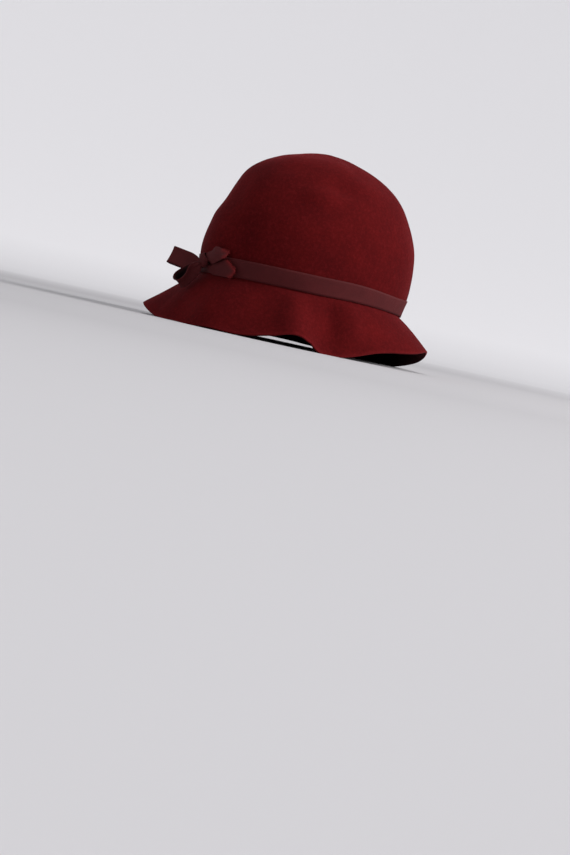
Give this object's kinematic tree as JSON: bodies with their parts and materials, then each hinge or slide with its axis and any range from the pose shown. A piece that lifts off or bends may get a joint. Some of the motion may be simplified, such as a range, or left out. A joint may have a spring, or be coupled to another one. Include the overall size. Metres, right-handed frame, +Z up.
{
  "type": "cloche hat",
  "caption": "Soft felt cloche hat with a rounded crown, a narrow wavy brim turned down, and a grosgrain ribbon band tied in a bow in front.",
  "frame": {"origin": "middle of the hat's bounding box at its base, on the surface that the brim rests on", "axes": "+Z up through the crown, -Y to the front where the bow is, +X to the wearer's left"},
  "size_m": [0.2276, 0.2482, 0.1724],
  "materials": {
    "felt": "brushed wool felt, dark burgundy, soft nap with a faint sheen",
    "ribbon": "ribbed grosgrain ribbon, dull wine red"
  },
  "bodies": {
    "root": {"felt_body": "felt", "ribbon_band": "ribbon", "bow_knot": "ribbon", "bow_side_loop": "ribbon", "bow_front_loop": "ribbon", "bow_upper_tail": "ribbon", "bow_side_tail": "ribbon"}
  },
  "joints": []
}
